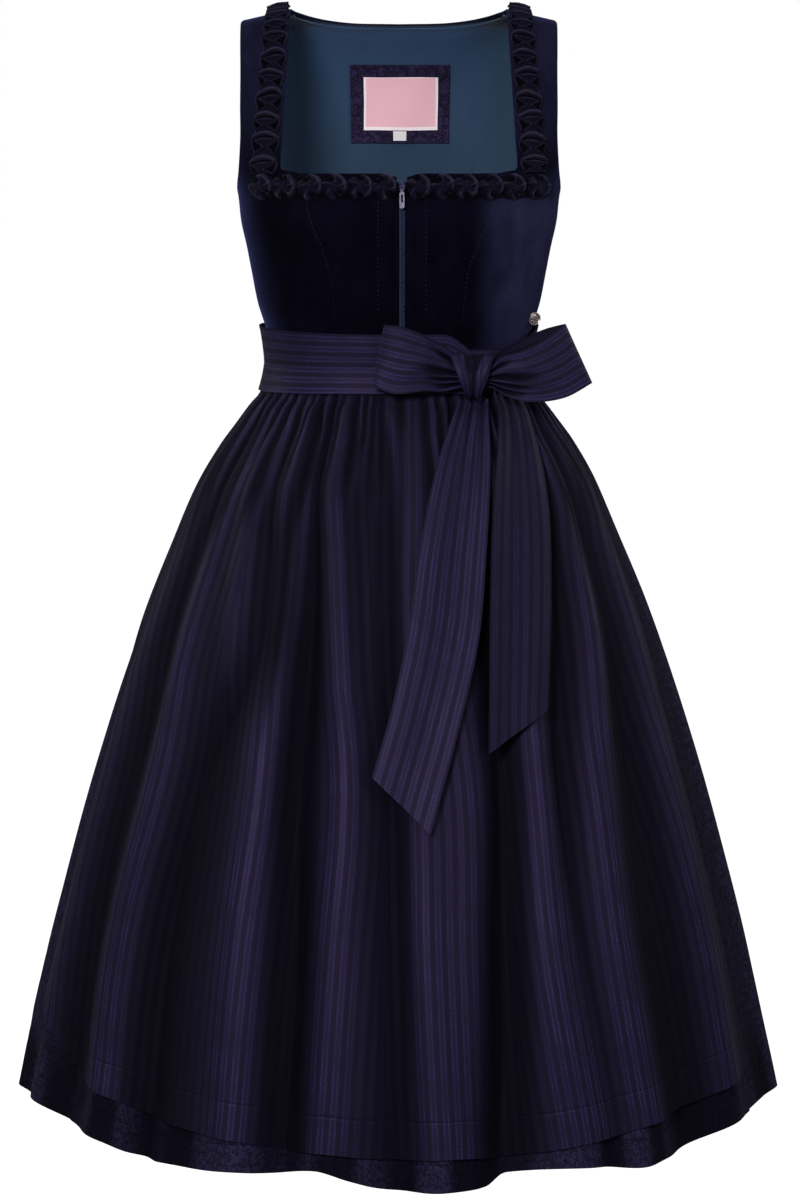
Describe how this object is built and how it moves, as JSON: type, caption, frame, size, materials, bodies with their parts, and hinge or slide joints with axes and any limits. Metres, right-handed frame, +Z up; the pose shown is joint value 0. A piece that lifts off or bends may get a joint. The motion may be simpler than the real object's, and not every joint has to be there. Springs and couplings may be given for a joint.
{
  "type": "dirndl",
  "caption": "Sleeveless velvet bodice with a square neckline and front zip, a gathered midi skirt, and a striped apron tied in a bow at the waist.",
  "frame": {"origin": "the shoulders mount: the point midway between the shoulders, at the height of the highest point of the neck-side ends of the shoulder seams", "axes": "+Z up from the hem to the shoulders, -Y the wearer's front, +X the wearer's left"},
  "size_m": [0.7026, 0.6141, 1.0015],
  "materials": {
    "velvet": "dark navy cotton velvet, short pile with a blue sheen at grazing angles",
    "lining": "petrol blue plain-weave cotton lining, matte",
    "skirt_jacquard": "dark violet-navy jacquard with a small tone-on-tone scroll ornament, soft sheen",
    "apron_stripe": "near-black violet satin jacquard with fine lengthwise herringbone stripes",
    "label": "woven satin label, bare pink field in a white woven border",
    "zip_tape": "dark blue woven zip tape",
    "zip_coil": "dark blue nylon coil",
    "zip_metal": "bright nickel-plated zip metal",
    "button_metal": "antique pewter with darker hollows"
  },
  "bodies": {
    "dress": {"bodice_front_right": "velvet", "bodice_front_left": "velvet", "bodice_side_front_right": "velvet", "bodice_side_front_left": "velvet", "bodice_side_back_right": "velvet", "bodice_side_back_left": "velvet", "bodice_back": "velvet", "lining_back": "lining", "label_patch": "skirt_jacquard", "label": "label", "size_tab": "label", "zip_tape": "zip_tape", "zip_coil": "zip_coil", "zip_slider": "zip_metal", "ruche_strap_right": "velvet", "ruche_strap_left": "velvet", "ruche_neck_right": "velvet", "ruche_neck_left": "velvet", "skirt": "skirt_jacquard", "apron": "apron_stripe", "apron_waistband": "apron_stripe", "tie_right": "apron_stripe", "tie_left": "apron_stripe", "bow_loop_right": "apron_stripe", "bow_loop_left": "apron_stripe", "bow_knot": "apron_stripe", "bow_tail_right": "apron_stripe", "bow_tail_left": "apron_stripe", "button": "button_metal"},
    "pull_tab": {"zip_pull_tab": "zip_metal"}
  },
  "joints": [
    {"name": "pull_tab_swing", "type": "hinge", "parent": "dress", "child": "pull_tab", "pos_m": [0.0027, -0.10355, -0.16451], "axis": [-1, 0, 0], "range_deg": [0, 140]}
  ]
}
